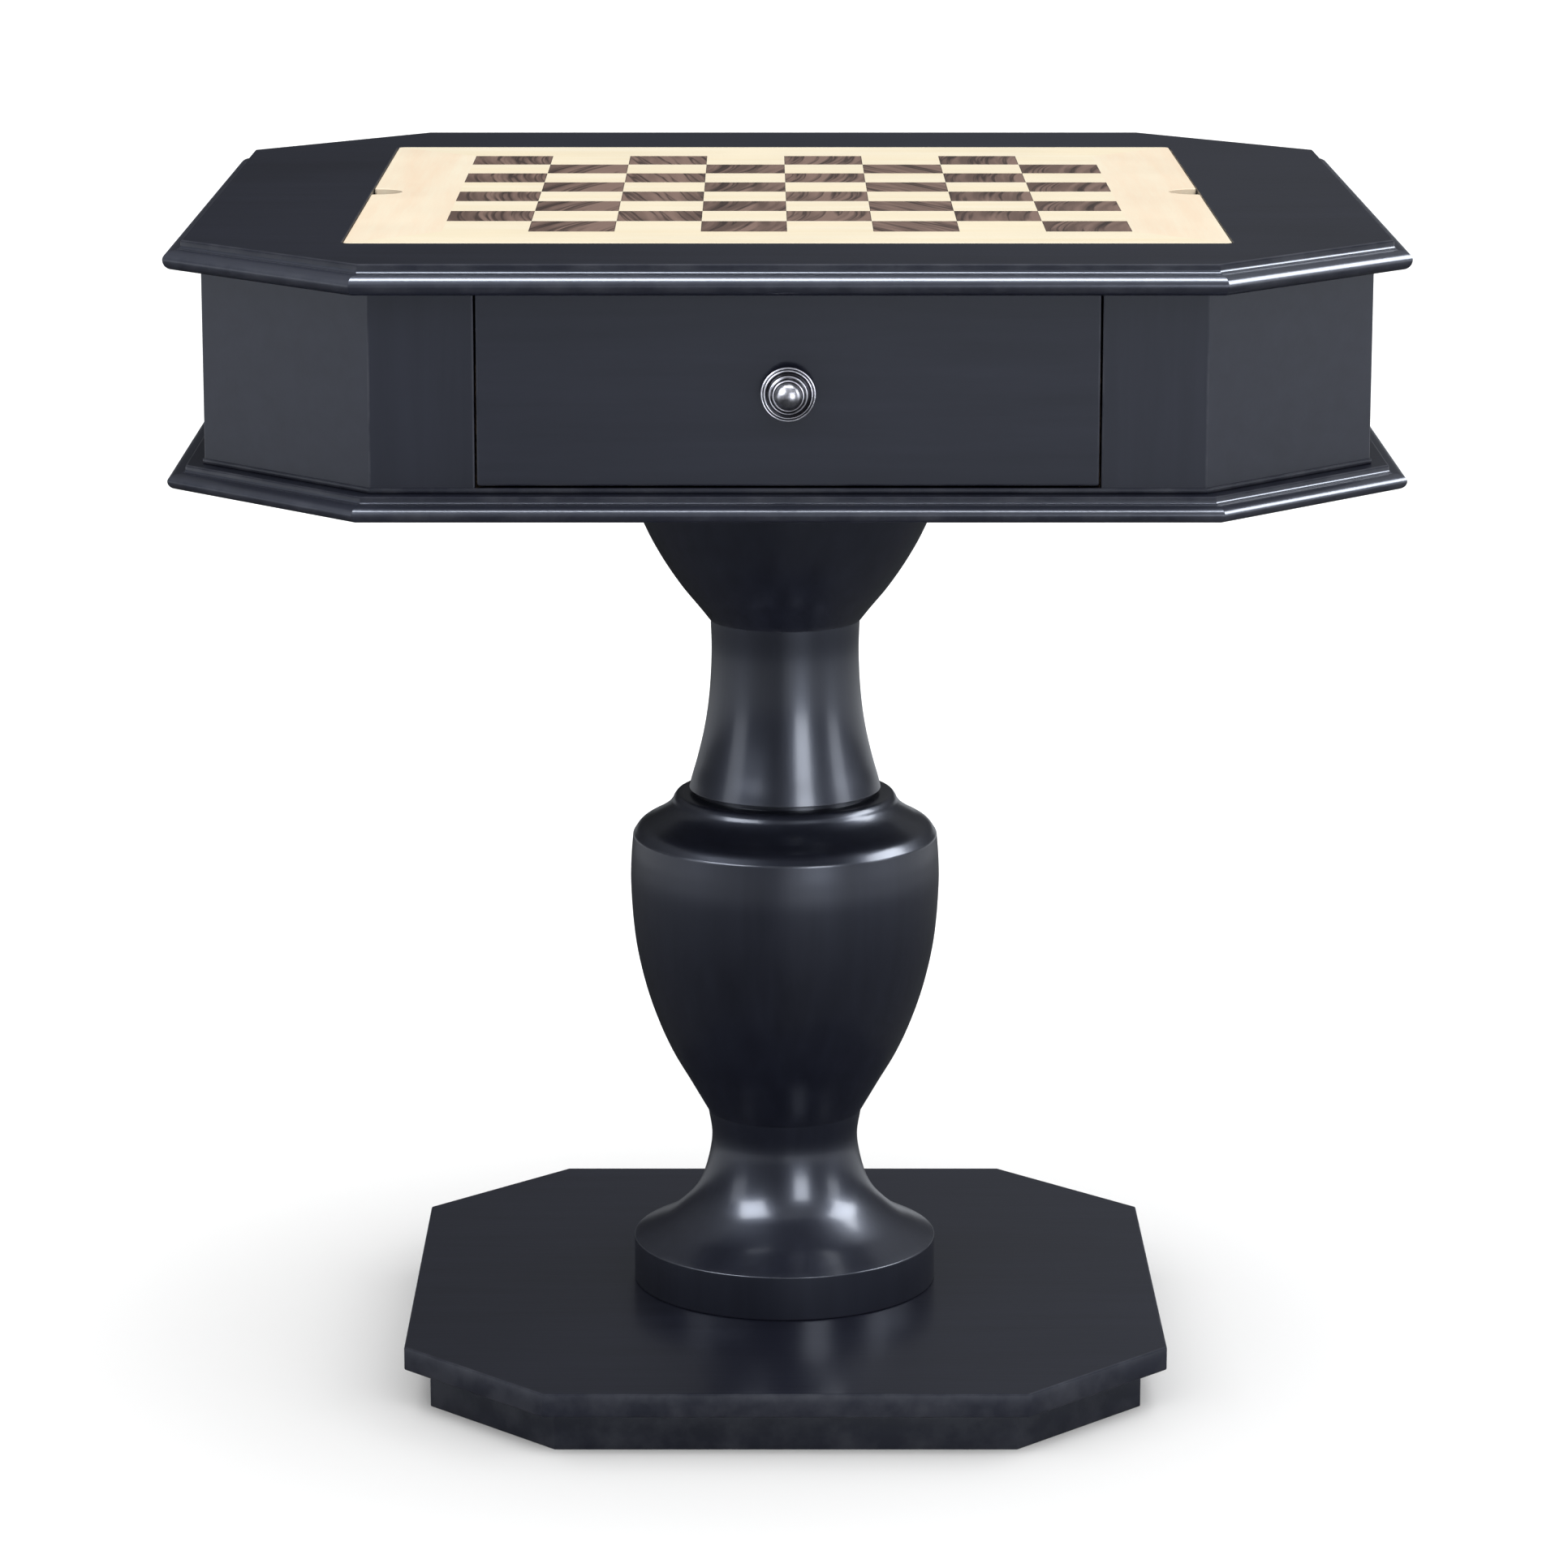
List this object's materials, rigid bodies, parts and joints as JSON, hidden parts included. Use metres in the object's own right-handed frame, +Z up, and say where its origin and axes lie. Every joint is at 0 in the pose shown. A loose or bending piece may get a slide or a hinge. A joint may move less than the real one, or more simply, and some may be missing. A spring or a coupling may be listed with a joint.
{
  "type": "gaming table",
  "caption": "Eight-sided pedestal gaming table with a lift-off chequered board over a shallow well, and drawers front and back.",
  "frame": {"origin": "on the floor, under the middle of the table", "axes": "+Z up, -Y towards the front drawer, +X to the right of someone facing the front drawer"},
  "size_m": [0.7654, 0.7706, 0.7874],
  "materials": {
    "lacquer": "satin blue-black lacquer over fine-grained wood",
    "board_veneer": "satin maple veneer with walnut squares",
    "bare_wood": "bare sanded hardwood",
    "pewter": "polished antique pewter with dark recesses",
    "steel": "zinc-plated steel"
  },
  "bodies": {
    "table": {"top_frame": "lacquer", "top_nosing_right": "lacquer", "top_nosing_back_right": "lacquer", "top_nosing_back": "lacquer", "top_nosing_back_left": "lacquer", "top_nosing_left": "lacquer", "top_nosing_front_left": "lacquer", "top_nosing_front": "lacquer", "top_nosing_front_right": "lacquer", "bottom_panel": "lacquer", "bottom_nosing_right": "lacquer", "bottom_nosing_back_right": "lacquer", "bottom_nosing_back": "lacquer", "bottom_nosing_back_left": "lacquer", "bottom_nosing_left": "lacquer", "bottom_nosing_front_left": "lacquer", "bottom_nosing_front": "lacquer", "bottom_nosing_front_right": "lacquer", "shadow_strip": "lacquer", "side_panel_right": "lacquer", "side_panel_left": "lacquer", "corner_panel_back_right": "lacquer", "corner_panel_back_left": "lacquer", "corner_panel_front_left": "lacquer", "corner_panel_front_right": "lacquer", "stile_front_left": "lacquer", "stile_front_right": "lacquer", "stile_back_left": "lacquer", "stile_back_right": "lacquer", "drawer_guide_left": "bare_wood", "drawer_guide_right": "bare_wood", "well_floor": "board_veneer", "well_wall_front": "lacquer", "well_wall_back": "lacquer", "well_wall_left": "lacquer", "well_wall_right": "lacquer", "mounting_plate": "lacquer", "bowl": "lacquer", "neck": "lacquer", "urn": "lacquer", "foot": "lacquer", "base_plate": "lacquer", "plinth": "lacquer", "tie_rod": "steel", "rod_nut": "steel"},
    "front_drawer": {"front_drawer_face": "lacquer", "front_drawer_left_side": "bare_wood", "front_drawer_right_side": "bare_wood", "front_drawer_back": "bare_wood", "front_drawer_bottom": "bare_wood", "front_drawer_knob": "pewter", "front_drawer_knob_screw": "steel"},
    "back_drawer": {"back_drawer_face": "lacquer", "back_drawer_left_side": "bare_wood", "back_drawer_right_side": "bare_wood", "back_drawer_back": "bare_wood", "back_drawer_bottom": "bare_wood", "back_drawer_knob": "pewter", "back_drawer_knob_screw": "steel"},
    "lift_off_board": {"game_board": "board_veneer"}
  },
  "joints": [
    {"name": "front_drawer_slide", "type": "slide", "parent": "table", "child": "front_drawer", "axis": [0, -1, 0], "range_m": [0, 0.25]},
    {"name": "back_drawer_slide", "type": "slide", "parent": "table", "child": "back_drawer", "axis": [0, 1, 0], "range_m": [0, 0.25]},
    {"name": "board_lift", "type": "slide", "parent": "table", "child": "lift_off_board", "axis": [0, 0, 1], "range_m": [0, 0.1]}
  ]
}
